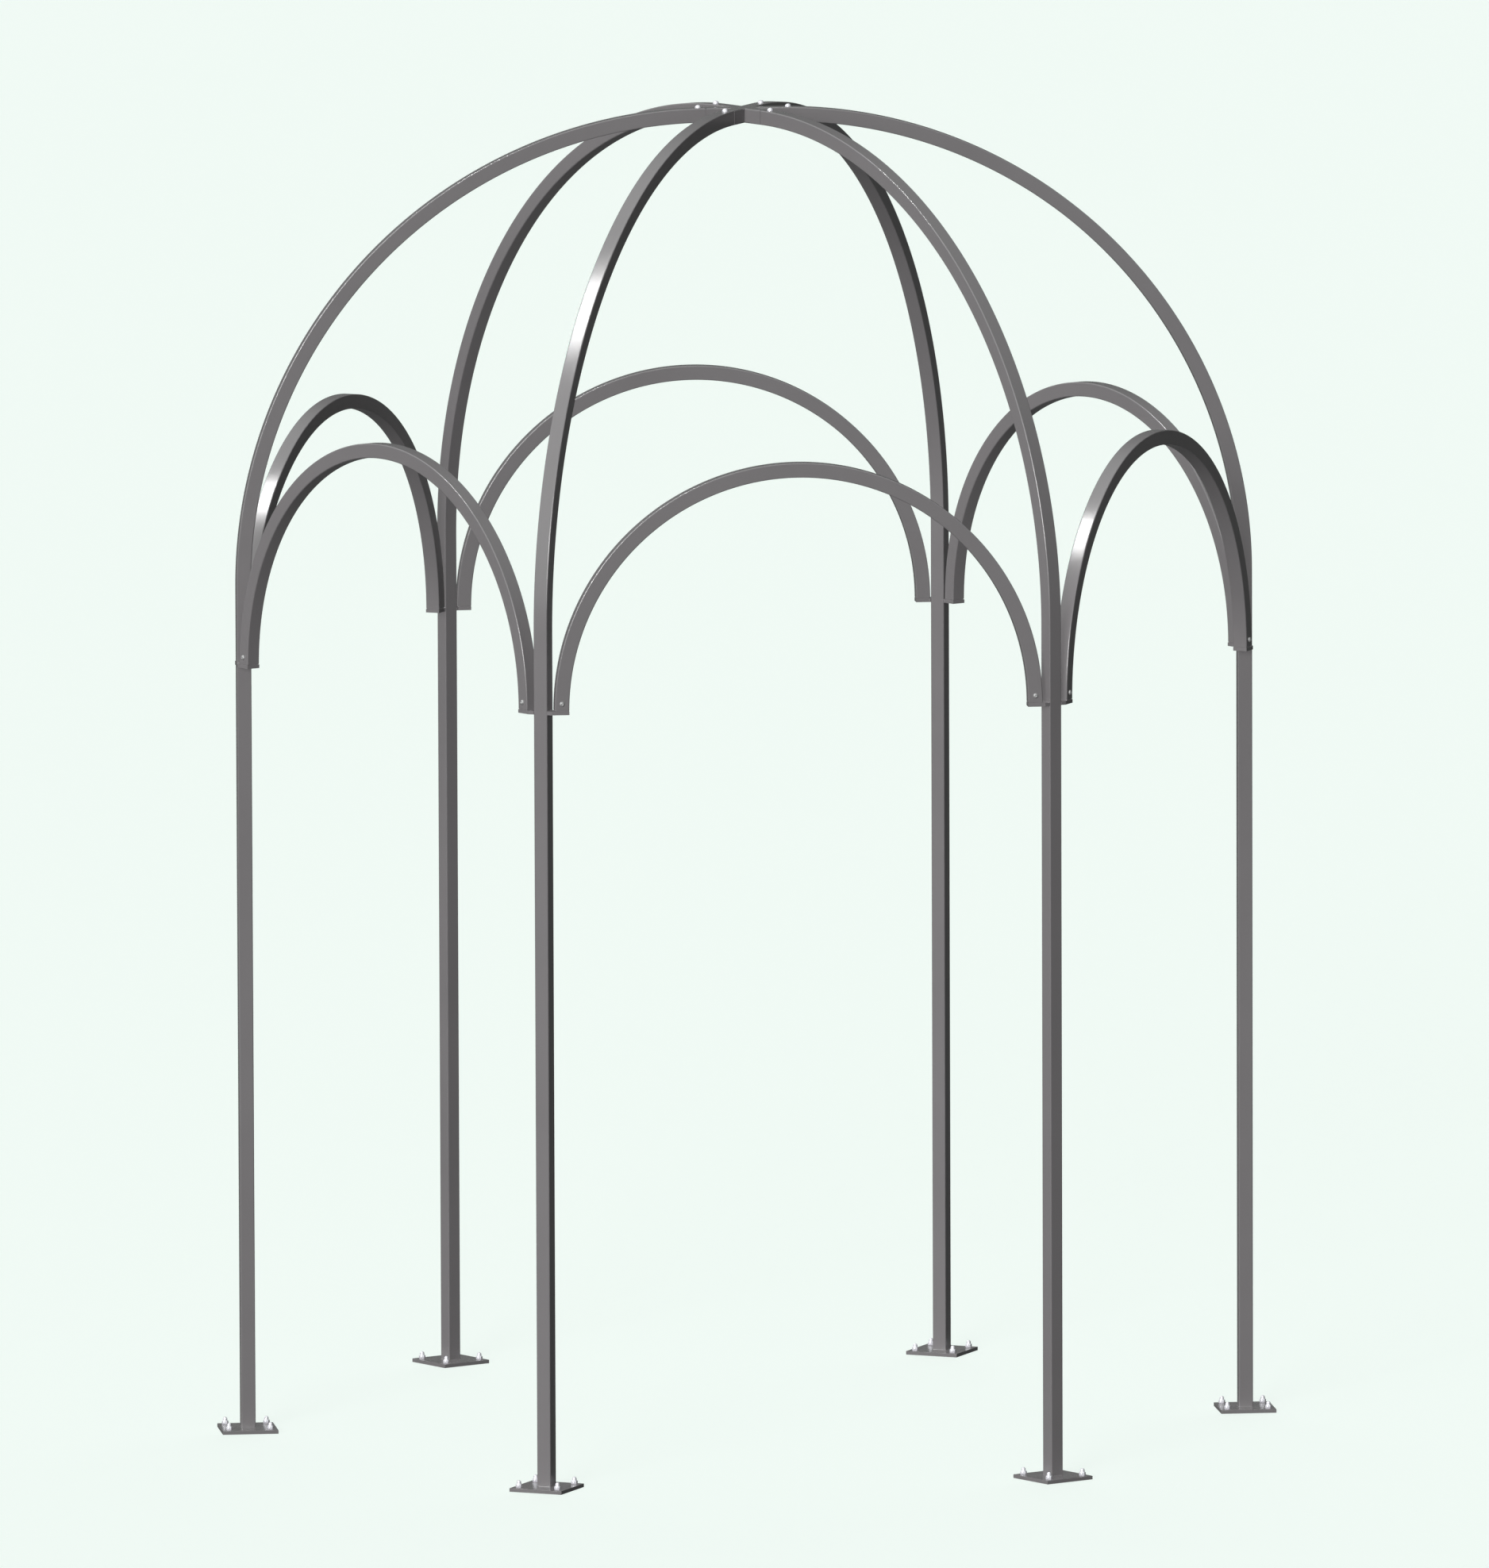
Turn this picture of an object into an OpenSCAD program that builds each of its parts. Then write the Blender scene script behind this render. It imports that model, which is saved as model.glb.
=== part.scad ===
// Hexagonal garden pavilion in square steel tube: six posts that bend over into
// the ribs of an open dome, six round side arches between them, and a star hub
// at the crown. Millimetres, +Z up, origin on the ground under the crown.

/* [Layout] */
// Distance from the centre to the middle of a post
post_circle_radius = 1395; // [900:5:2400]
// Height above the ground at which a post starts to bend into its rib
rib_spring_height = 2355; // [1400:5:3200]
// Height above the ground of the underside of the arch brackets
bracket_height = 2135; // [1000:5:2600]

/* [Tube] */
// Outside width of the square tube in posts, ribs and arches
tube_size = 40; // [30:1:60]
// Wall thickness of the tube
tube_wall = 2; // [1.5:0.5:4]
// Outside radius of the tube's long edges
tube_corner = 3; // [2.5:0.5:6]

/* [Crown hub] */
// Length of a hub arm from the centre to the seam with its rib
hub_arm = 105; // [80:5:200]

// Length of the hub's spigots inside the ribs
hub_spigot_length = 45; // [35:5:80]

/* [Spigots] */
// Wall thickness of a spigot
spigot_wall = 4; // [3:0.5:6]
// Gap on each side between a spigot and the tube over it
spigot_clearance = 0.3; // [0.2:0.1:1]
// Distance from the end of a tube to the screw that holds it on its spigot
screw_setback = 20; // [15:1:25]

/* [Arch brackets] */
// Thickness of the flat bar
bracket_thickness = 10; // [6:1:16]
// Gap between a post and the nearest corner of the arch tube beside it
arch_gap = 1.5; // [1:0.5:20]
// Length of bar between the bend and the near side of the arch tube
bracket_lead = 2; // [0:0.5:7]
// Length of a bracket's spigot inside the arch tube
arch_spigot_length = 35; // [35:5:60]
// Diameter of the clearance holes for the arch screws
arch_screw_hole = 9; // [6:0.5:12]
// Diameter of the threaded holes for the arch screws
arch_screw_thread = 6.8; // [5:0.1:10]

/* [Crown screws] */
// Diameter of the clearance holes for the crown screws
crown_screw_hole = 11; // [8:0.5:13]
// Diameter of the threaded holes for the crown screws
crown_screw_thread = 8.5; // [6:0.1:11]

/* [Foot plates] */
// Side of a square foot plate
plate_size = 155; // [130:5:250]
// Thickness of a foot plate
plate_thickness = 10; // [6:1:20]
// Distance between neighbouring anchor holes in a plate
anchor_spacing = 115; // [95:1:125]
// Diameter of the anchor holes
anchor_hole = 12; // [8:0.5:14]

/* [Hidden] */
$fn = 96;
// Small overlap with which a cut passes right through a face
cut = 1;
// Posts, each with its rib, and the openings between them, each with its arch
side_count = 6;
// Step in angle between neighbouring posts
side_angle = 360 / side_count;
// Angle in plan through which a bracket bends from its post to its arch
bend_angle = side_angle / 2;
tube_bore = tube_size - 2 * tube_wall;
tube_bore_corner = max(tube_corner - tube_wall, 0.5);
spigot_size = tube_bore - 2 * spigot_clearance;
spigot_corner = 1;
// The ribs' bend ends level with the end of a hub arm
rib_radius = post_circle_radius - hub_arm;
crown_height = rib_spring_height + rib_radius;
// Top of the bracket bar, where the arch tubes stand
arch_seat_height = bracket_height + bracket_thickness;
// Middle of an arch leg, past the bend of the bracket
leg_past_bend = bracket_lead + tube_size / 2;
// Straight stub of bar between the side of the post and the bend
bracket_stub = arch_gap + tube_size / 2 * sin(bend_angle) - bracket_lead * cos(bend_angle);
// Bend point of a bracket, sideways from the middle of its post
bracket_bend = tube_size / 2 + bracket_stub;
// Middle plane of a side arch, outwards from the middle of the opening's chord
arch_outset = bracket_bend * sin(bend_angle);
// Distance from a post's middle to an arch leg's middle, along the chord
leg_setback = bracket_bend * cos(bend_angle) + leg_past_bend;
chord_length = 2 * post_circle_radius * sin(side_angle / 2);
chord_distance = post_circle_radius * cos(side_angle / 2);
arch_radius = chord_length / 2 - leg_setback;
steel_colour = [0.29, 0.28, 0.285];

// How far a tube bent to a radius drifts sideways over a length from its end
function bend_drift(length, radius) = radius - sqrt(radius * radius - length * length);

// Rectangle with round corners, centred
module rounded_rectangle(size, corner) {
    inset = size / 2 - [corner, corner];
    square([size.x, 2 * inset.y], center = true);
    square([2 * inset.x, size.y], center = true);
    for (x = [-inset.x, inset.x], y = [-inset.y, inset.y])
        translate([x, y]) circle(r = corner);
}

// Section of the tube in posts, ribs and arches
module tube_section() {
    difference() {
        rounded_rectangle([tube_size, tube_size], tube_corner);
        rounded_rectangle([tube_bore, tube_bore], tube_bore_corner);
    }
}

// Upright tube that stands on the XY plane
module upright_tube(length) {
    linear_extrude(height = length) tube_section();
}

// Round bend of the tube in the XZ plane about the origin, from +X over +Z
module tube_bend(radius, angle) {
    rotate([90, 0, 0])
        rotate_extrude(angle = angle, $fn = 360)
            translate([radius, 0]) tube_section();
}

// Turns its children to post n, which is then along +X before the turn
module at_post(n) {
    rotate([0, 0, (n - 1) * side_angle]) children();
}

// Turns its children to the opening after post n, which is then along +X
module at_side(n) {
    rotate([0, 0, (n - 0.5) * side_angle]) children();
}

// Post and dome rib bent from one length of tube, on the +X axis
module post_rib() {
    post_length = rib_spring_height - plate_thickness;
    screw_radius = hub_arm + screw_setback;
    color(steel_colour)
        difference() {
            union() {
                translate([post_circle_radius, 0, plate_thickness]) upright_tube(post_length);
                translate([hub_arm, 0, rib_spring_height]) tube_bend(rib_radius, 90);
            }
            translate([screw_radius, 0, crown_height])
                cylinder(d = crown_screw_hole, h = tube_size);
        }
}

// Half-round side arch over the opening on the +X side
module side_arch() {
    screw_height = arch_seat_height + screw_setback;
    color(steel_colour)
        difference() {
            translate([chord_distance + arch_outset, 0, arch_seat_height])
                rotate([0, 0, 90]) tube_bend(arch_radius, 180);
            for (y = [-arch_radius, arch_radius])
                translate([chord_distance + arch_outset, y, screw_height])
                    rotate([0, 90, 0]) cylinder(d = arch_screw_hole, h = tube_size);
        }
}

// Plan of the bracket bar, on the +Y side of a post that stands at the origin
module bracket_plan() {
    half = tube_size / 2;
    mitre = half * tan(bend_angle / 2);
    arm = [-sin(bend_angle), cos(bend_angle)];
    across = [cos(bend_angle), sin(bend_angle)];
    bend = [0, bracket_bend];
    tip = bend + arm * (leg_past_bend + half);
    polygon([
        [half, half],
        [half, bracket_bend + mitre],
        tip + across * half,
        tip - across * half,
        [-half, bracket_bend - mitre],
        [-half, half]
    ]);
}

// Bracket on the +Y side of the post on the +X axis, with its spigot for the arch
module bracket() {
    color(steel_colour)
        translate([post_circle_radius, 0, bracket_height])
            difference() {
                union() {
                    linear_extrude(height = bracket_thickness) bracket_plan();
                    translate([0, bracket_bend, bracket_thickness])
                        rotate([0, 0, bend_angle])
                            translate([0, leg_past_bend, 0]) arch_spigot();
                }
                translate([0, bracket_bend, bracket_thickness + screw_setback])
                    rotate([0, 0, bend_angle])
                        translate([0, leg_past_bend, 0])
                            rotate([0, 90, 0])
                                cylinder(d = arch_screw_thread, h = tube_size);
            }
}

// Spigot that stands on the XY plane, narrowed along Y by the bend of its arch
module arch_spigot() {
    drift = bend_drift(arch_spigot_length, arch_radius);
    size = [spigot_size, spigot_size - 2 * drift];
    linear_extrude(height = arch_spigot_length)
        difference() {
            rounded_rectangle(size, spigot_corner);
            rounded_rectangle(size - 2 * [spigot_wall, spigot_wall], spigot_corner);
        }
}

// Square foot plate under the post on the +X axis, with four anchor holes
module foot_plate() {
    reach = anchor_spacing / 2;
    color(steel_colour)
        translate([post_circle_radius, 0, 0])
            difference() {
                translate([-plate_size / 2, -plate_size / 2, 0])
                    cube([plate_size, plate_size, plate_thickness]);
                for (x = [-reach, reach], y = [-reach, reach])
                    translate([x, y, -cut])
                        cylinder(d = anchor_hole, h = plate_thickness + 2 * cut);
            }
}

// Straight bar through the centre along X, whose section is given as [height, width]
module through_bar(length, section, corner) {
    rotate([0, 90, 0])
        linear_extrude(height = length, center = true) rounded_rectangle(section, corner);
}

// Star of six short tubes at the crown, with a spigot in each for its rib
module crown_hub() {
    reach = hub_arm + hub_spigot_length;
    drift = bend_drift(hub_spigot_length, rib_radius);
    section = [spigot_size - 2 * drift, spigot_size];
    bore = section - 2 * [spigot_wall, spigot_wall];
    color(steel_colour)
        translate([0, 0, crown_height])
            difference() {
                for (n = [1 : side_count / 2])
                    at_post(n) {
                        through_bar(2 * hub_arm, [tube_size, tube_size], tube_corner);
                        through_bar(2 * reach, section, spigot_corner);
                    }
                for (n = [1 : side_count / 2])
                    at_post(n) through_bar(2 * (reach + cut), bore, spigot_corner);
                for (n = [1 : side_count])
                    at_post(n)
                        translate([hub_arm + screw_setback, 0, 0])
                            cylinder(d = crown_screw_thread, h = tube_size);
            }
}

at_post(1) post_rib();  // post_rib_1
at_post(2) post_rib();  // post_rib_2
at_post(3) post_rib();  // post_rib_3
at_post(4) post_rib();  // post_rib_4
at_post(5) post_rib();  // post_rib_5
at_post(6) post_rib();  // post_rib_6
at_side(1) side_arch();  // side_arch_1
at_side(2) side_arch();  // side_arch_2
at_side(3) side_arch();  // side_arch_3
at_side(4) side_arch();  // side_arch_4
at_side(5) side_arch();  // side_arch_5
at_side(6) side_arch();  // side_arch_6
at_post(1) mirror([0, 1, 0]) bracket();  // bracket_left_1
at_post(2) mirror([0, 1, 0]) bracket();  // bracket_left_2
at_post(3) mirror([0, 1, 0]) bracket();  // bracket_left_3
at_post(4) mirror([0, 1, 0]) bracket();  // bracket_left_4
at_post(5) mirror([0, 1, 0]) bracket();  // bracket_left_5
at_post(6) mirror([0, 1, 0]) bracket();  // bracket_left_6
at_post(1) bracket();  // bracket_right_1
at_post(2) bracket();  // bracket_right_2
at_post(3) bracket();  // bracket_right_3
at_post(4) bracket();  // bracket_right_4
at_post(5) bracket();  // bracket_right_5
at_post(6) bracket();  // bracket_right_6
at_post(1) foot_plate();  // foot_plate_1
at_post(2) foot_plate();  // foot_plate_2
at_post(3) foot_plate();  // foot_plate_3
at_post(4) foot_plate();  // foot_plate_4
at_post(5) foot_plate();  // foot_plate_5
at_post(6) foot_plate();  // foot_plate_6
crown_hub();
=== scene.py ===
"""The looks of the garden pavilion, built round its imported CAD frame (Blender 4.5, metres, Z up).

The posts, ribs and side arches are swept again with fine rings, so that their bends and rounded
edges shade smoothly. The hub, the brackets and the foot plates stay as the CAD made them, and the
brackets and plates get a small edge rounding from modifiers. Dome nuts, screws and weld beads are
added.
"""

import math

import bmesh
import bpy
from mathutils import Matrix, Vector


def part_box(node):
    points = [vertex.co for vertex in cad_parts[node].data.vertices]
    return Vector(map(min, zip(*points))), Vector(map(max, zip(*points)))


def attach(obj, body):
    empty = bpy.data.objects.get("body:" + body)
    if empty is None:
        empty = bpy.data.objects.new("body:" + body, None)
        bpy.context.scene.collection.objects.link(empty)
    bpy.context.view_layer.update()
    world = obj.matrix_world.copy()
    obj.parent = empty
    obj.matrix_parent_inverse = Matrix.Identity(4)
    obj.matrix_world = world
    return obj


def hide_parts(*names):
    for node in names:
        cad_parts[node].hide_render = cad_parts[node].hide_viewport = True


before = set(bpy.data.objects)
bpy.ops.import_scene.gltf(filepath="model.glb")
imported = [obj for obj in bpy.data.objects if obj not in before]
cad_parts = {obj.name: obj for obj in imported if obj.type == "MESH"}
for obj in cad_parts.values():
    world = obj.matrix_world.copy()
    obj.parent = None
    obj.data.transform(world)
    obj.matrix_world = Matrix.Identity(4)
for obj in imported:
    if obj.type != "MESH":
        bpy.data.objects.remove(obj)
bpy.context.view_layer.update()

SIDES = 6
SIDE_ANGLE = 360 / SIDES

# Sizes read from the CAD: post 1 stands on +X, and arch 5 stands across -Y.
POST_LOW, POST_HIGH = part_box("post_rib_1")
ARCH_LOW, ARCH_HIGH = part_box("side_arch_5")
PLATE_LOW, PLATE_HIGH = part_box("foot_plate_1")
TUBE = POST_HIGH.y - POST_LOW.y
POST_RADIUS = POST_HIGH.x - TUBE / 2
HUB_ARM = POST_LOW.x
RIB_RADIUS = POST_RADIUS - HUB_ARM
RIB_SPRING = POST_HIGH.z - TUBE / 2 - RIB_RADIUS
POST_FOOT = POST_LOW.z
ARCH_RADIUS = (ARCH_HIGH.x - ARCH_LOW.x - TUBE) / 2
ARCH_SEAT = ARCH_LOW.z
ARCH_DISTANCE = -(ARCH_LOW.y + ARCH_HIGH.y) / 2
PLATE_TOP = PLATE_HIGH.z
PLATE_THICKNESS = PLATE_HIGH.z - PLATE_LOW.z
BRACKET_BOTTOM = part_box("bracket_right_1")[0].z

# The tube's section and how finely it is swept.
TUBE_CORNER = 0.003
TUBE_WALL = 0.002
END_CHAMFER = 0.0012
JOINT_GAP = 0.0010
CORNER_STEPS = 6
RIB_STEPS = 108
ARCH_STEPS = 144

# Edge rounding of the CAD nodes that stay.
EDGE_ROUNDING = 0.0005
EDGE_SEGMENTS = 2
EDGE_SHARPER_THAN = 40
MERGE_DISTANCE = 0.00001

# How finely the turned fasteners are made, and the angle above which their edges stay sharp.
ROUND_STEPS = 48
DOME_STEPS = 10
SHARP_ANGLE = 32

# Dome nuts on the foot plates. The neck is (height above the hexagon, radius beyond the dome's).
ANCHOR_SPACING = 0.115
ANCHOR_CORNERS = ((1, 1), (-1, 1), (-1, -1), (1, -1))
STUD_RADIUS = 0.005
NUT_FLATS = 0.016
NUT_HEX_HEIGHT = 0.010
NUT_CHAMFER_DROP = 0.0014
NUT_FACE_SHARE = 0.96
NUT_NECK = ((0.0004, 0.0008), (0.0010, -0.0002))
NUT_DOME_RADIUS = 0.0062
NUT_HEIGHT = 0.0205

# Screws at the crown and at the arches' ends.
CROWN_SCREW_SETBACK = 0.020
CROWN_HEAD_RADIUS = 0.0085
CROWN_HEAD_HEIGHT = 0.0082
CROWN_SHANK_RADIUS = 0.005
ARCH_SCREW_SETBACK = 0.020
ARCH_HEAD_RADIUS = 0.007
ARCH_HEAD_HEIGHT = 0.0056
ARCH_SHANK_RADIUS = 0.004
SHANK_LENGTH = 0.006
HEAD_FOOT_SHARE = 0.98
HEAD_FOOT_HEIGHT = 0.0002
HEAD_SKIRT_SHARE = 0.08
SOCKET_FLATS = 0.004
SOCKET_DEPTH = 0.0026
SOCKET_RIM_SHARE = 0.75
SOCKET_TIP_DEPTH = 0.0006
SOCKET_TIP_SHARE = 0.2

# Weld beads. The profile is (across, high), in legs; the last point is buried in the joint.
BEAD_LEG = 0.0016
BEAD_PROFILE = ((0.0, 1.0), (0.36, 0.62), (0.62, 0.36), (1.0, 0.0), (-0.25, -0.25))
BEAD_END_SHARE = 0.35
BEAD_END_STEPS = 6
RIPPLE_PITCH = 0.0020
RIPPLE_SHARE = 0.09
BEAD_STEPS_PER_RIPPLE = 4
FOOT_BEAD_CORNER_STEPS = 4

# Noise patterns are (scale in cycles per metre, detail), and their values are spread over a span.
NOISE_SPAN = (0.3, 0.7)

# Paint: its linear colour, tones and gloss.
PAINT = (0.218, 0.208, 0.213)
CLOUD_TONES = (0.97, 1.04)
FLECK_TONES = (0.95, 1.02)
CLOUD_NOISE = (2.5, 3.0)
FLECK_NOISE = (700.0, 1.0)
GLOSS_NOISE = (14.0, 3.0)
PAINT_ROUGHNESS = (0.20, 0.235)
PAINT_SPECULAR = 0.8
PEEL_NOISE = (420.0, 2.0)
PEEL_STRENGTH = 0.05
PEEL_DEPTH = 0.0003

# Plated and bare steel, in the same terms.
ZINC = (0.90, 0.89, 0.95)
ZINC_METALLIC = 0.35
ZINC_ROUGHNESS = (0.26, 0.38)
DULL_STEEL = (0.40, 0.40, 0.40)
DULL_METALLIC = 0.45
DULL_ROUGHNESS = (0.50, 0.60)
PATCH_NOISE = (260.0, 3.0)
PATCH_TONE = 0.93
POLISH_NOISE = (900.0, 3.0)
SCRATCH_NOISE = (2600.0, 2.0)
SCRATCH_STRENGTH = 0.03
SCRATCH_DEPTH = 0.0001

# The backdrop, and the floor: the camera sees FLOOR with a glow, and every other ray FLOOR_DIM.
BACKDROP = (0.880, 0.956, 0.913)
FLOOR = (0.56, 0.605, 0.58)
FLOOR_DIM = (0.12, 0.12, 0.12)
FLOOR_GLOW = 0.48
FLOOR_REACH = 160.0

# The world: what reflections see, and what lights the object softly from all round and behind.
# A patch's span is the cosine of the angle to its middle, where it starts and where it is full.
REFLECTED_TOWARD = (-0.60, -0.55, 0.58)
REFLECTED_SPAN = (-0.4, 0.5)
REFLECTED_STRENGTHS = (0.10, 0.95)
FILL_TOWARD = (0.255, 0.951, 0.174)
FILL_SPAN = (0.6, 1.0)
FILL_STRENGTHS = (0.04, 1.7)

# Lamps: azimuth and elevation in degrees, strength, width in degrees, and whether they cast shadows.
LAMPS = {
    "key": (243, 14, 1.50, 12, False),
    "key_soft": (243, 14, 0.97, 24, True),
    "high": (182.5, 62.5, 1.60, 18, False),
}

# The camera: angles in degrees, lens and sensor in millimetres.
CAMERA_AZIMUTH = -6.802
CAMERA_ELEVATION = 7.146
CAMERA_ROLL = -0.201
CAMERA_DISTANCE = 77.41
CAMERA_LENS = 641.45
CAMERA_SENSOR = 36
CAMERA_CLIP = (1, 400)
AIM_ACROSS = -0.0023
AIM_HEIGHT = 1.7804


# ---------------------------------------------------------------- node helpers


def node_adder(tree):
    """A function that adds a node to tree: inputs are values or sockets, by name or number."""

    def add(kind, inputs=None, **settings):
        node = tree.nodes.new(kind)
        for key, value in settings.items():
            setattr(node, key, value)
        for key, value in (inputs or {}).items():
            if isinstance(value, bpy.types.NodeSocket):
                tree.links.new(value, node.inputs[key])
            else:
                node.inputs[key].default_value = value
        return node

    return add


def opaque(colour, factor=1.0):
    """A colour made lighter or darker by factor, with full alpha."""
    return (*[channel * factor for channel in colour], 1.0)


def mixed(add, factor, first, second):
    """The colour between two colours."""
    node = add("ShaderNodeMix", {0: factor, 6: first, 7: second}, data_type="RGBA")
    return node.outputs[2]


def noise(add, place, pattern, low=0.0, high=1.0):
    """A noise value that runs from low to high."""
    scale, detail = pattern
    start, end = NOISE_SPAN
    cloud = add("ShaderNodeTexNoise", {"Vector": place, "Scale": scale, "Detail": detail})
    limits = {"From Min": start, "From Max": end, "To Min": low, "To Max": high}
    spread = add("ShaderNodeMapRange", {"Value": cloud.outputs["Fac"], **limits})
    return spread.outputs["Result"]


def bumped(add, height, strength, depth):
    """The normal of a surface with fine bumps."""
    inputs = {"Height": height, "Strength": strength, "Distance": depth}
    return add("ShaderNodeBump", inputs).outputs["Normal"]


def surface_material(name):
    """A new node material: its tree, its shader and its node adder."""
    material = bpy.data.materials.new(name)
    material.use_nodes = True
    tree = material.node_tree
    return material, tree, tree.nodes["Principled BSDF"], node_adder(tree)


# ---------------------------------------------------------------- materials


def paint_material():
    """Satin powder coat: dark grey with a cloudy tone, a fine fleck and an orange-peel skin."""
    material, tree, shader, add = surface_material("painted_steel")
    place = add("ShaderNodeTexCoord").outputs["Object"]
    cloud = noise(add, place, CLOUD_NOISE)
    fleck = noise(add, place, FLECK_NOISE)
    clouded = mixed(add, cloud, *[opaque(PAINT, tone) for tone in CLOUD_TONES])
    flecked = mixed(add, cloud, *[opaque(PAINT, tone) for tone in FLECK_TONES])
    colour = mixed(add, fleck, flecked, clouded)
    roughness = noise(add, place, GLOSS_NOISE, *PAINT_ROUGHNESS)
    peel = bumped(add, noise(add, place, PEEL_NOISE), PEEL_STRENGTH, PEEL_DEPTH)
    tree.links.new(colour, shader.inputs["Base Color"])
    tree.links.new(roughness, shader.inputs["Roughness"])
    tree.links.new(peel, shader.inputs["Normal"])
    shader.inputs["Specular IOR Level"].default_value = PAINT_SPECULAR
    return material


def steel_material(name, colour, metallic, roughness_range):
    """Bare or plated steel: faint cloudy patches and fine scratches."""
    material, tree, shader, add = surface_material(name)
    place = add("ShaderNodeTexCoord").outputs["Object"]
    patches = noise(add, place, PATCH_NOISE)
    patchy = mixed(add, patches, opaque(colour, PATCH_TONE), opaque(colour))
    roughness = noise(add, place, POLISH_NOISE, *roughness_range)
    scratches = bumped(add, noise(add, place, SCRATCH_NOISE), SCRATCH_STRENGTH, SCRATCH_DEPTH)
    tree.links.new(patchy, shader.inputs["Base Color"])
    tree.links.new(roughness, shader.inputs["Roughness"])
    tree.links.new(scratches, shader.inputs["Normal"])
    shader.inputs["Metallic"].default_value = metallic
    return material


def floor_material():
    """A pale studio floor: the camera sees it as pale as the backdrop, with the object's shadow."""
    material, tree, shader, add = surface_material("studio_floor")
    seen = add("ShaderNodeLightPath").outputs["Is Camera Ray"]
    colour = mixed(add, seen, opaque(FLOOR_DIM), opaque(FLOOR))
    glow = add("ShaderNodeMath", {0: seen, 1: FLOOR_GLOW}, operation="MULTIPLY")
    tree.links.new(colour, shader.inputs["Base Color"])
    tree.links.new(glow.outputs[0], shader.inputs["Emission Strength"])
    shader.inputs["Emission Color"].default_value = opaque(BACKDROP)
    shader.inputs["Roughness"].default_value = 1.0
    shader.inputs["Specular IOR Level"].default_value = 0.0
    return material


PAINTED = paint_material()
BRIGHT = steel_material("bright_fasteners", ZINC, ZINC_METALLIC, ZINC_ROUGHNESS)
DULL = steel_material("dull_screws", DULL_STEEL, DULL_METALLIC, DULL_ROUGHNESS)


# ---------------------------------------------------------------- mesh helpers


def turned(degrees):
    """A turn about the pavilion's axis."""
    return Matrix.Rotation(math.radians(degrees), 4, "Z")


def add_piece(name, mesh, material):
    """Puts a mesh in the scene as a piece that rides on the frame."""
    piece = bpy.data.objects.new(name, mesh)
    bpy.context.scene.collection.objects.link(piece)
    mesh.materials.append(material)
    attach(piece, "root")
    return piece


def square_outline(width, corner, steps=CORNER_STEPS):
    """Points and outward normals round a square with rounded corners, counter-clockwise."""
    reach = width / 2 - corner
    outline = []
    for quarter in range(4):
        centre = Matrix.Rotation(math.radians(90 * quarter), 2) @ Vector((reach, reach))
        for step in range(steps + 1):
            angle = math.radians(90 * quarter + 90 * step / steps)
            normal = Vector((math.cos(angle), math.sin(angle)))
            outline.append((centre + corner * normal, normal))
    return outline


class Shell:
    """A mesh in the making, with its own normal for each corner of each face."""

    def __init__(self):
        self.points = []
        self.faces = []
        self.normals = []

    def ring(self, points, normals):
        """Adds a ring of points, and returns their numbers with their normals."""
        first = len(self.points)
        self.points.extend(points)
        return list(range(first, len(self.points))), normals

    def band(self, low, high):
        """Joins two rings with quads that face outward when the rings turn counter-clockwise."""
        low_points, low_normals = low
        high_points, high_normals = high
        for at in range(len(low_points)):
            after = (at + 1) % len(low_points)
            self.faces.append((low_points[at], low_points[after], high_points[after], high_points[at]))
            self.normals += (low_normals[at], low_normals[after], high_normals[after], high_normals[at])

    def mesh(self, name, placed):
        """The finished mesh, moved by the matrix placed."""
        mesh = bpy.data.meshes.new(name)
        mesh.from_pydata([placed @ point for point in self.points], [], self.faces)
        mesh.polygons.foreach_set("use_smooth", [True] * len(mesh.polygons))
        turn = placed.to_3x3()
        mesh.normals_split_custom_set([turn @ normal for normal in self.normals])
        return mesh


# ---------------------------------------------------------------- swept tubes

# A station is a place along a tube's centreline: (origin, out, side). The tube runs along the
# cross product of out and side.


def moved_along(station, distance):
    """A station moved along the tube."""
    origin, out, side = station
    return origin + distance * out.cross(side), out, side


def with_end_rounding(stations, first_gap, last_gap):
    """The same stations, stopping a joint's gap short, with one more at each end's edge rounding."""
    first = moved_along(stations[0], first_gap)
    last = moved_along(stations[-1], -last_gap)
    inside_first = moved_along(first, END_CHAMFER)
    inside_last = moved_along(last, -END_CHAMFER)
    return [first, inside_first, *stations[1:-1], inside_last, last]


def bend(centre, radius, start, end, steps):
    """Stations along an arc in the XZ plane, from start to end degrees above the horizontal."""
    stations = []
    for step in range(steps + 1):
        angle = math.radians(start + (end - start) * step / steps)
        out = Vector((math.cos(angle), 0, math.sin(angle)))
        stations.append((centre + radius * out, out, Vector((0, 1, 0))))
    return stations


def outer_ring(shell, outline, station, at_end):
    """The tube's outside at a station; at_end is -1 or 1 at an end, where the edge is rounded."""
    origin, out, side = station
    forward = out.cross(side)
    inset = END_CHAMFER if at_end else 0
    points, normals = [], []
    for point, normal in outline:
        pulled_in = point - inset * normal
        points.append(origin + pulled_in.x * out + pulled_in.y * side)
        normals.append((normal.x * out + normal.y * side + at_end * forward).normalized())
    return shell.ring(points, normals)


def inner_ring(shell, outline, station):
    """The tube's inside at a station."""
    origin, out, side = station
    points = [origin + point.x * out + point.y * side for point, normal in outline]
    normals = [-(normal.x * out + normal.y * side) for point, normal in outline]
    return shell.ring(points, normals)


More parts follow.
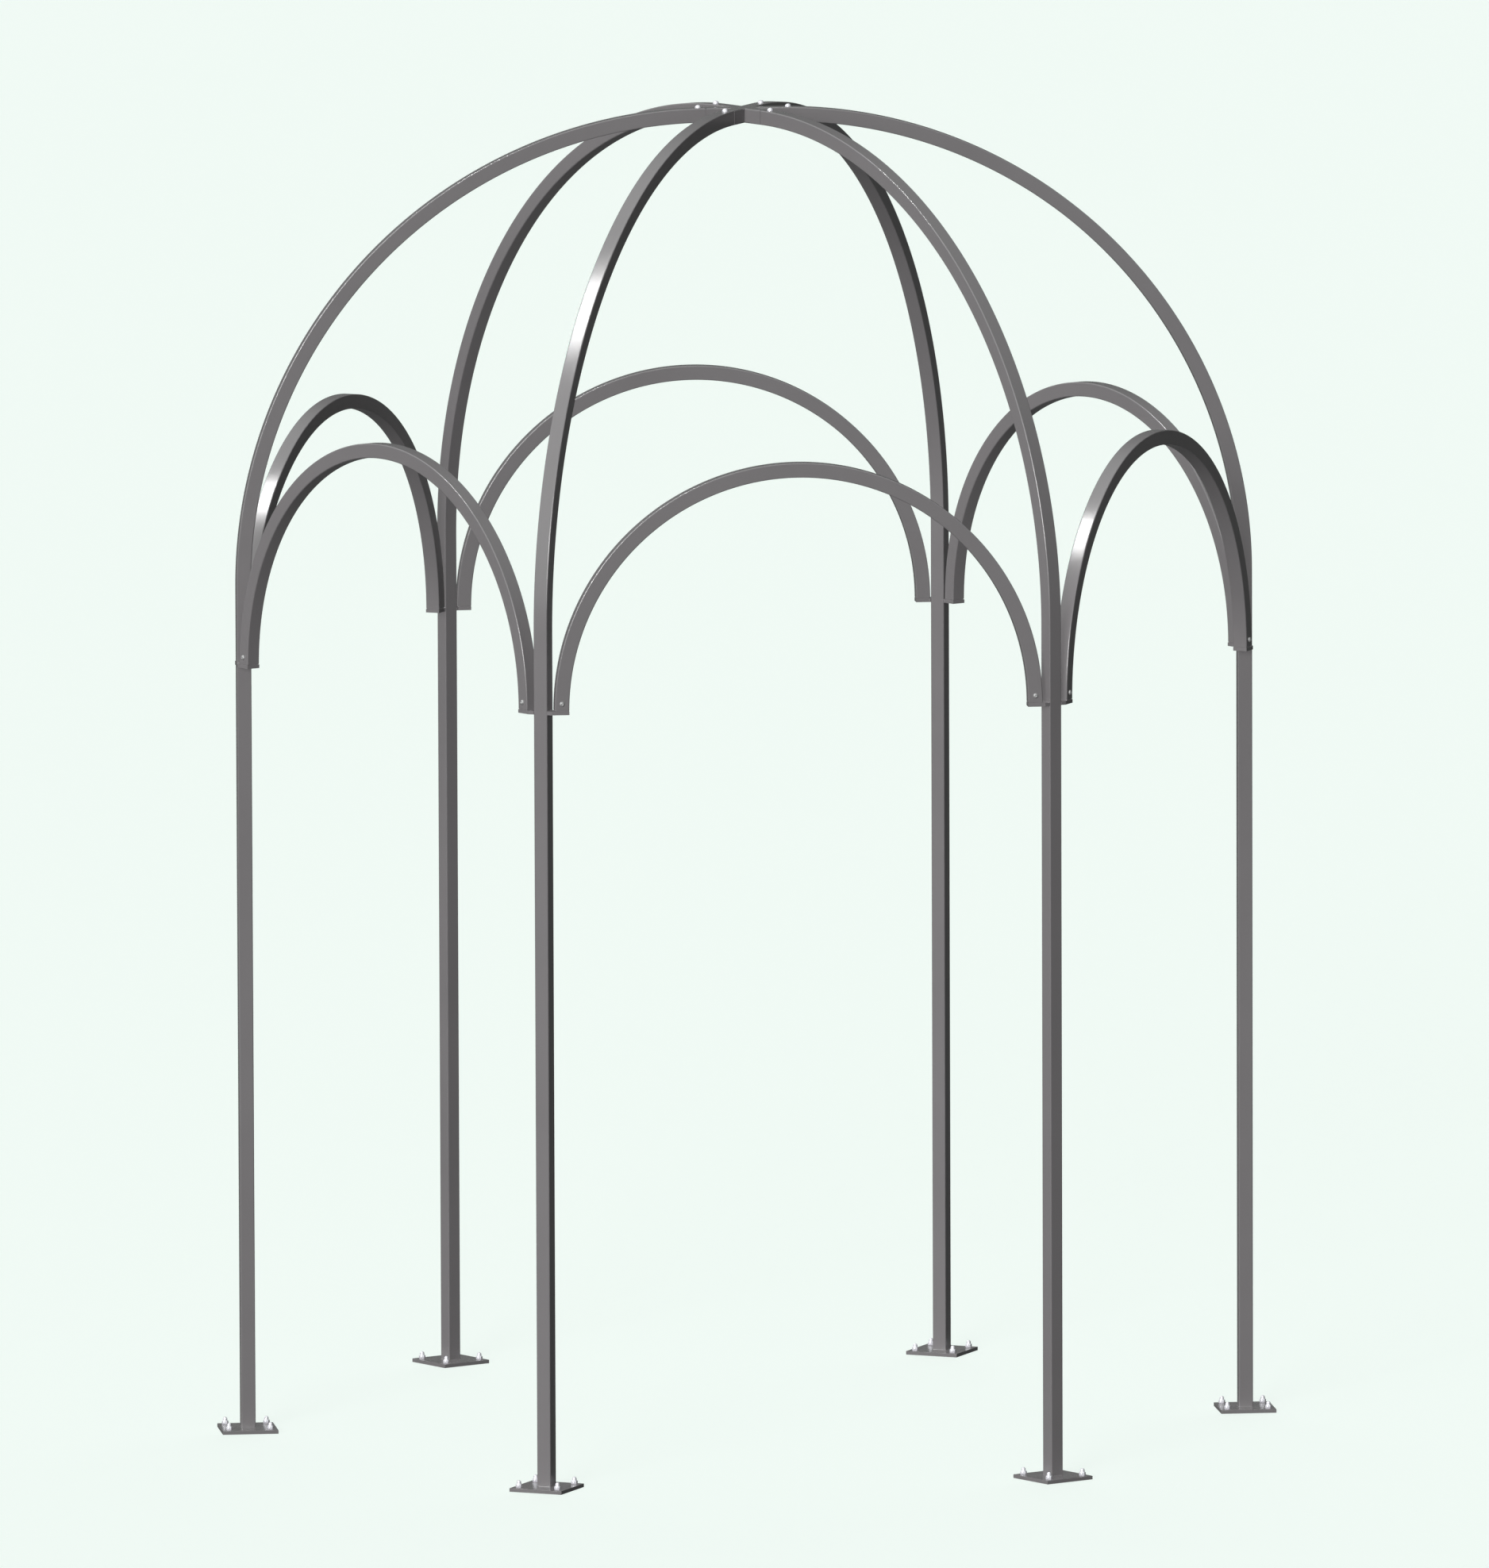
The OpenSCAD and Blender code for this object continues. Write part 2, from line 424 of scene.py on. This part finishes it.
def tube_shell(stations):
    """A square tube swept along stations, with both ends cut square."""
    shell = Shell()
    outline = square_outline(TUBE, TUBE_CORNER)
    bore = square_outline(TUBE - 2 * TUBE_WALL, TUBE_CORNER - TUBE_WALL)
    last = len(stations) - 1
    outside, inside = [], []
    for number, station in enumerate(stations):
        at_end = {0: -1, last: 1}.get(number, 0)
        outside.append(outer_ring(shell, outline, station, at_end))
        inside.append(inner_ring(shell, bore, station))
    for number in range(last):
        shell.band(outside[number], outside[number + 1])
        shell.band(inside[number + 1], inside[number])
    for end, at_end in ((0, -1), (last, 1)):
        origin, out, side = stations[end]
        flat = [at_end * out.cross(side)] * len(outline)
        rim, mouth = (outside[end][0], flat), (inside[end][0], flat)
        shell.band(*((mouth, rim) if at_end < 0 else (rim, mouth)))
    return shell


# ---------------------------------------------------------------- posts, ribs and side arches


def add_post_ribs():
    """Six posts that bend over into the ribs of the dome."""
    out, side = Vector((1, 0, 0)), Vector((0, 1, 0))
    foot = (Vector((POST_RADIUS, 0, POST_FOOT)), out, side)
    arc = bend(Vector((HUB_ARM, 0, RIB_SPRING)), RIB_RADIUS, 0, 90, RIB_STEPS)
    shell = tube_shell(with_end_rounding([foot, *arc], 0, JOINT_GAP))
    for number in range(1, SIDES + 1):
        name = f"post_and_rib_{number}"
        mesh = shell.mesh(name, turned(SIDE_ANGLE * (number - 1)))
        piece = add_piece(name, mesh, PAINTED)
        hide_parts(f"post_rib_{number}")


def opening_placed(number):
    """Puts the XZ plane of a piece across opening number, with local -Y outward."""
    return turned(SIDE_ANGLE * (number - 0.5) + 90)


def add_side_arches():
    """A half-round arch of the same tube in each of the six openings."""
    centre = Vector((0, -ARCH_DISTANCE, ARCH_SEAT))
    stations = bend(centre, ARCH_RADIUS, 0, 180, ARCH_STEPS)
    shell = tube_shell(with_end_rounding(stations, JOINT_GAP, JOINT_GAP))
    for number in range(1, SIDES + 1):
        name = f"half_round_arch_{number}"
        piece = add_piece(name, shell.mesh(name, opening_placed(number)), PAINTED)
        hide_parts(f"side_arch_{number}")


# ---------------------------------------------------------------- CAD nodes that stay


def soften_edges(node):
    """Joins a CAD node's split corners and rounds its edges a little, by modifiers only."""
    weld = node.modifiers.new("join", "WELD")
    weld.merge_threshold = MERGE_DISTANCE
    rounding = node.modifiers.new("rounding", "BEVEL")
    rounding.width = EDGE_ROUNDING
    rounding.segments = EDGE_SEGMENTS
    rounding.limit_method = "ANGLE"
    rounding.angle_limit = math.radians(EDGE_SHARPER_THAN)
    rounding.harden_normals = True


def finish_cad_nodes():
    """Paints the hub, brackets and foot plates, and rounds the edges of all but the hub."""
    for name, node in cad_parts.items():
        if not name.startswith(("crown_hub", "bracket", "foot_plate")):
            continue
        for material_slot in node.material_slots:
            material_slot.material = PAINTED
        if not name.startswith("crown_hub"):
            soften_edges(node)


# ---------------------------------------------------------------- fasteners


def hexagon_radius(angle, flats):
    """The distance from a hexagon's centre to its side, with corners at 0, 60, 120 degrees."""
    from_corner = (angle + math.pi / 6) % (math.pi / 3) - math.pi / 6
    return flats / 2 / math.cos(math.pi / 6 - abs(from_corner))


def turned_mesh(name, rings, placed):
    """A closed solid from rings of (height, radius function), with its sharper edges kept sharp."""
    shape = bmesh.new()
    angles = [2 * math.pi * step / ROUND_STEPS for step in range(ROUND_STEPS)]
    loops = []
    for height, radius_at in rings:
        loop = []
        for angle in angles:
            radius = radius_at(angle)
            loop.append(shape.verts.new((radius * math.cos(angle), radius * math.sin(angle), height)))
        loops.append(loop)
    for low, high in zip(loops, loops[1:]):
        for at in range(ROUND_STEPS):
            after = (at + 1) % ROUND_STEPS
            shape.faces.new((low[at], low[after], high[after], high[at]))
    shape.faces.new(loops[0][::-1])
    shape.faces.new(loops[-1])
    for face in shape.faces:
        face.smooth = True
    for edge in shape.edges:
        edge.smooth = edge.calc_face_angle(0) < math.radians(SHARP_ANGLE)
    return finished_mesh(name, shape, placed)


def finished_mesh(name, shape, placed):
    """The mesh made from a bmesh, moved by the matrix placed."""
    shape.transform(placed)
    mesh = bpy.data.meshes.new(name)
    shape.to_mesh(mesh)
    shape.free()
    return mesh


def round_ring(height, radius):
    """A plain circle for turned_mesh."""
    return height, lambda angle: radius


def hexagon_ring(height, flats, limit=math.inf):
    """A hexagon for turned_mesh, with its corners turned off at the radius limit."""
    return height, lambda angle: min(limit, hexagon_radius(angle, flats))


def dome_nut_rings():
    """A hexagon dome nut on a stud: stud in the plate, hexagon with turned-off corners, neck, dome."""
    rings = [round_ring(-PLATE_THICKNESS, STUD_RADIUS), round_ring(0, STUD_RADIUS)]
    corner_radius = hexagon_radius(0, NUT_FLATS)
    face_radius = NUT_FLATS / 2 * NUT_FACE_SHARE
    for height in (0, NUT_CHAMFER_DROP, NUT_HEX_HEIGHT - NUT_CHAMFER_DROP, NUT_HEX_HEIGHT):
        near_end = min(1, min(height, NUT_HEX_HEIGHT - height) / NUT_CHAMFER_DROP)
        limit = face_radius + (corner_radius - face_radius) * near_end
        rings.append(hexagon_ring(height, NUT_FLATS, limit))
    for rise, beyond in NUT_NECK:
        rings.append(round_ring(NUT_HEX_HEIGHT + rise, NUT_DOME_RADIUS + beyond))
    dome_base = NUT_HEIGHT - NUT_DOME_RADIUS
    for step in range(DOME_STEPS):
        angle = math.radians(90 * step / DOME_STEPS)
        height = dome_base + NUT_DOME_RADIUS * math.sin(angle)
        rings.append(round_ring(height, NUT_DOME_RADIUS * math.cos(angle)))
    return rings


def dome_screw_rings(head_radius, head_height, shank_radius):
    """A round-headed screw: shank in the tube wall, low skirt, dome, hexagon socket."""
    skirt = HEAD_SKIRT_SHARE * head_height
    rings = [
        round_ring(-SHANK_LENGTH, shank_radius),
        round_ring(0, shank_radius),
        round_ring(0, head_radius * HEAD_FOOT_SHARE),
        round_ring(HEAD_FOOT_HEIGHT, head_radius),
        round_ring(skirt, head_radius),
    ]
    top_angle = 90 - math.degrees(SOCKET_FLATS * SOCKET_RIM_SHARE / head_radius)
    for step in range(1, DOME_STEPS + 1):
        angle = math.radians(top_angle * step / DOME_STEPS)
        height = skirt + (head_height - skirt) * math.sin(angle)
        rings.append(round_ring(height, head_radius * math.cos(angle)))
    rim = rings[-1][0]
    rings.append(hexagon_ring(rim, SOCKET_FLATS))
    rings.append(hexagon_ring(rim - SOCKET_DEPTH, SOCKET_FLATS))
    rings.append(round_ring(rim - SOCKET_DEPTH - SOCKET_TIP_DEPTH, SOCKET_FLATS * SOCKET_TIP_SHARE))
    return rings


def add_dome_nuts():
    """A dome nut over each of the four anchor holes of each foot plate."""
    rings = dome_nut_rings()
    for number in range(1, SIDES + 1):
        for corner, (along, across) in enumerate(ANCHOR_CORNERS, 1):
            x = POST_RADIUS + along * ANCHOR_SPACING / 2
            y = across * ANCHOR_SPACING / 2
            spot = turned(SIDE_ANGLE * (number - 1)) @ Matrix.Translation((x, y, PLATE_TOP))
            name = f"dome_nut_{number}_{corner}"
            add_piece(name, turned_mesh(name, rings, spot), BRIGHT)


def add_crown_screws():
    """A screw down through each rib into the hub's spigot."""
    rings = dome_screw_rings(CROWN_HEAD_RADIUS, CROWN_HEAD_HEIGHT, CROWN_SHANK_RADIUS)
    lean = math.asin(CROWN_SCREW_SETBACK / RIB_RADIUS)
    out = Vector((math.sin(lean), 0, math.cos(lean)))
    place = Vector((HUB_ARM, 0, RIB_SPRING)) + (RIB_RADIUS + TUBE / 2) * out
    spot = Matrix.Translation(place) @ Matrix.Rotation(lean, 4, "Y")
    for number in range(1, SIDES + 1):
        name = f"crown_screw_{number}"
        mesh = turned_mesh(name, rings, turned(SIDE_ANGLE * (number - 1)) @ spot)
        add_piece(name, mesh, BRIGHT)


def add_arch_screws():
    """A screw from outside through each end of each side arch."""
    rings = dome_screw_rings(ARCH_HEAD_RADIUS, ARCH_HEAD_HEIGHT, ARCH_SHANK_RADIUS)
    facing_out = Matrix.Rotation(math.radians(90), 4, "X")
    for number in range(1, SIDES + 1):
        for end, sign in (("right", 1), ("left", -1)):
            place = (sign * ARCH_RADIUS, -ARCH_DISTANCE - TUBE / 2, ARCH_SEAT + ARCH_SCREW_SETBACK)
            spot = opening_placed(number) @ Matrix.Translation(place) @ facing_out
            name = f"arch_screw_{end}_{number}"
            add_piece(name, turned_mesh(name, rings, spot), DULL)


# ---------------------------------------------------------------- weld beads

# A bead's line is a list of (point, away, up, distance): away and up lean on the two surfaces
# that meet there, and distance is how far along the weld the point is.


def bead_ring(shape, spot, leg):
    """The bead's section at one point of its line."""
    point, away, up, distance = spot
    swell = 1 + RIPPLE_SHARE * math.cos(2 * math.pi * distance / RIPPLE_PITCH)
    ring = []
    for across, high in BEAD_PROFILE:
        grow = leg * (swell if 0 < across < 1 else 1.0)
        ring.append(shape.verts.new(point + across * grow * away + high * grow * up))
    return ring


def bead_mesh(name, line, closed, placed):
    """A rippled fillet along a line. One that isn't closed gets thinner at its ends."""
    shape = bmesh.new()
    loops = []
    for number, spot in enumerate(line):
        from_end = min(number, len(line) - 1 - number)
        thinned = 1.0 if closed else min(1.0, BEAD_END_SHARE + from_end / BEAD_END_STEPS)
        loops.append(bead_ring(shape, spot, BEAD_LEG * thinned))
    pairs = list(zip(loops, loops[1:]))
    if closed:
        pairs.append((loops[-1], loops[0]))
    for low, high in pairs:
        for at in range(len(BEAD_PROFILE)):
            after = (at + 1) % len(BEAD_PROFILE)
            shape.faces.new((low[at], low[after], high[after], high[at]))
    if not closed:
        shape.faces.new(loops[0][::-1])
        shape.faces.new(loops[-1])
    bmesh.ops.recalc_face_normals(shape, faces=shape.faces)
    for face in shape.faces:
        face.smooth = True
    return finished_mesh(name, shape, placed)


def straight_run(start, end, away, up):
    """The line of a straight weld, a few points to each ripple."""
    length = (end - start).length
    steps = max(2, round(length / RIPPLE_PITCH * BEAD_STEPS_PER_RIPPLE))
    run = []
    for step in range(steps + 1):
        share = step / steps
        run.append((start.lerp(end, share), away, up, share * length))
    return run


def post_foot_run():
    """The line of the weld round the foot of post 1, following its rounded corners."""
    outline = square_outline(TUBE, TUBE_CORNER, FOOT_BEAD_CORNER_STEPS)
    up = Vector((0, 0, 1))
    centre = Vector((POST_RADIUS, 0, PLATE_TOP))
    run, distance = [], 0.0
    for at, (point, normal) in enumerate(outline):
        after, after_normal = outline[(at + 1) % len(outline)]
        gap = (after - point).length
        steps = max(1, round(gap / RIPPLE_PITCH * BEAD_STEPS_PER_RIPPLE))
        for step in range(steps):
            share = step / steps
            place = centre + point.lerp(after, share).to_3d()
            away = normal.lerp(after_normal, share).normalized().to_3d()
            run.append((place, away, up, distance + gap * share))
        distance += gap
    return run


def add_bracket_welds(number, placed):
    """A weld bead above and below each of a post's two brackets."""
    reach = TUBE / 2 - TUBE_CORNER
    side, up = Vector((0, 1, 0)), Vector((0, 0, 1))
    for hand, sign in (("right", 1), ("left", -1)):
        for level, height, rise in (("top", ARCH_SEAT, up), ("under", BRACKET_BOTTOM, -up)):
            start = Vector((POST_RADIUS - reach, sign * TUBE / 2, height))
            end = Vector((POST_RADIUS + reach, sign * TUBE / 2, height))
            run = straight_run(start, end, sign * side, rise)
            name = f"bracket_weld_{hand}_{level}_{number}"
            add_piece(name, bead_mesh(name, run, False, placed), PAINTED)


def add_welds():
    """Weld beads round each post's foot, and where its brackets meet it."""
    foot = post_foot_run()
    for number in range(1, SIDES + 1):
        placed = turned(SIDE_ANGLE * (number - 1))
        name = f"foot_weld_{number}"
        add_piece(name, bead_mesh(name, foot, True, placed), PAINTED)
        add_bracket_welds(number, placed)


# ---------------------------------------------------------------- studio


def add_floor():
    """A large pale floor, which fills the long lens's view at every height."""
    mesh = bpy.data.meshes.new("studio_floor")
    corners = [(x * FLOOR_REACH, y * FLOOR_REACH, 0) for x, y in ((-1, -1), (1, -1), (1, 1), (-1, 1))]
    mesh.from_pydata(corners, [], [(0, 1, 2, 3)])
    mesh.materials.append(floor_material())
    floor = bpy.data.objects.new("studio_floor", mesh)
    bpy.context.scene.collection.objects.link(floor)


def patch_strength(add, toward, span, strengths):
    """A strength that rises smoothly over a round patch of the sky, whose middle lies toward."""
    direction = add("ShaderNodeTexCoord").outputs["Generated"]
    facing = add("ShaderNodeVectorMath", {0: direction, 1: toward}, operation="DOT_PRODUCT")
    inputs = {"Value": facing.outputs["Value"], "From Min": span[0], "From Max": span[1]}
    inputs.update({"To Min": strengths[0], "To Max": strengths[1]})
    return add("ShaderNodeMapRange", inputs, interpolation_type="SMOOTHSTEP").outputs["Result"]


def add_world():
    """A pale backdrop for the camera, with one sky for reflections and one for soft light."""
    world = bpy.data.worlds.new("studio")
    bpy.context.scene.world = world
    world.use_nodes = True
    world.node_tree.nodes.clear()
    add = node_adder(world.node_tree)
    path = add("ShaderNodeLightPath")

    def background(strength):
        return add("ShaderNodeBackground", {"Color": opaque(BACKDROP), "Strength": strength}).outputs[0]

    def chosen(ray, otherwise, shown):
        return add("ShaderNodeMixShader", {0: path.outputs[ray], 1: otherwise, 2: shown}).outputs[0]

    soft = background(patch_strength(add, FILL_TOWARD, FILL_SPAN, FILL_STRENGTHS))
    reflected = background(patch_strength(add, REFLECTED_TOWARD, REFLECTED_SPAN, REFLECTED_STRENGTHS))
    lit = chosen("Is Glossy Ray", soft, reflected)
    add("ShaderNodeOutputWorld", {"Surface": chosen("Is Camera Ray", lit, background(1.0))})


def direction_from(azimuth, elevation):
    """The unit vector to a place seen from the pavilion: azimuth from +X, both in radians."""
    level = math.cos(elevation)
    return Vector((math.cos(azimuth) * level, math.sin(azimuth) * level, math.sin(elevation)))


def add_lights():
    """Far soft lamps: a key from the front left, and a high one on the left for the satin gleam.

    The lamps that cast no shadow stand for the picture's light, in which nothing is shaded.
    """
    for name, (azimuth, elevation, strength, width, shadows) in LAMPS.items():
        light = bpy.data.lights.new(name, "SUN")
        light.use_shadow = shadows
        light.cycles.use_multiple_importance_sampling = shadows
        light.energy = strength
        light.angle = math.radians(width)
        lamp = bpy.data.objects.new(name, light)
        bpy.context.scene.collection.objects.link(lamp)
        toward = direction_from(math.radians(azimuth), math.radians(elevation))
        lamp.rotation_mode = "QUATERNION"
        lamp.rotation_quaternion = toward.to_track_quat("Z", "Y")


def add_camera():
    """A long lens at the photograph's viewing angle, aimed at the middle of the pavilion."""
    around = math.radians(CAMERA_AZIMUTH)
    roll = math.radians(CAMERA_ROLL)
    away = direction_from(around - math.pi / 2, math.radians(CAMERA_ELEVATION))
    across = Vector((math.cos(around), math.sin(around), 0))
    top = away.cross(across)
    right = across * math.cos(roll) + top * math.sin(roll)
    upright = top * math.cos(roll) - across * math.sin(roll)
    data = bpy.data.cameras.new("camera")
    data.lens = CAMERA_LENS
    data.sensor_width = CAMERA_SENSOR
    data.clip_start, data.clip_end = CAMERA_CLIP
    camera = bpy.data.objects.new("camera", data)
    bpy.context.scene.collection.objects.link(camera)
    camera.matrix_world = Matrix((right, upright, away)).transposed().to_4x4()
    target = AIM_ACROSS * across + Vector((0, 0, AIM_HEIGHT))
    camera.location = target + away * CAMERA_DISTANCE
    bpy.context.scene.camera = camera


add_post_ribs()
add_side_arches()
finish_cad_nodes()
add_dome_nuts()
add_crown_screws()
add_arch_screws()
add_welds()
add_floor()
add_world()
add_lights()
add_camera()
bpy.context.scene.view_settings.view_transform = "Standard"
